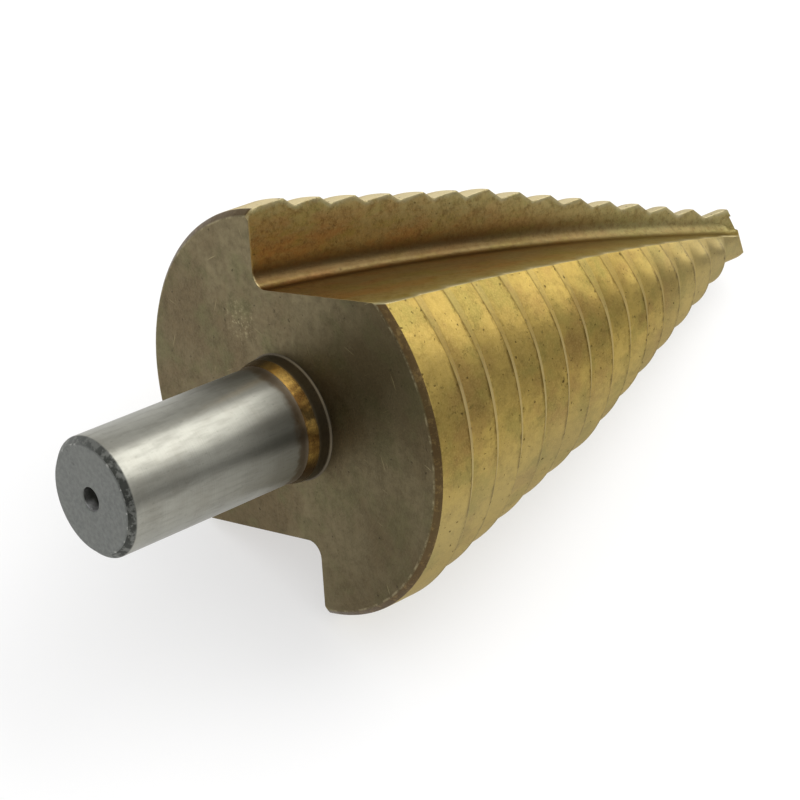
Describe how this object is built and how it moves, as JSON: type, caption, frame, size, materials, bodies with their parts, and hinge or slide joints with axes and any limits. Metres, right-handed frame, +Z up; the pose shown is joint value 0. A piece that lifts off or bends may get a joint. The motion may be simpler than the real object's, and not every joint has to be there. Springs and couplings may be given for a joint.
{
  "type": "step drill",
  "caption": "Step drill for sheet metal: a fluted cone of stepped cutting lands on a plain round shank, used in a drill chuck to open and enlarge holes.",
  "frame": {"origin": "on the floor, under the middle of the part's bounding box", "axes": "+Z up, with the drill lying at rest on one flute; +X along the drill seen from above, from the shank towards the point, which dips to the floor"},
  "size_m": [0.0932, 0.042, 0.038],
  "materials": {
    "coated_steel": "ground high speed steel with a worn gold nitride coat; the shank and the back face are bare"
  },
  "bodies": {
    "root": {"step_drill": "coated_steel"}
  },
  "joints": []
}
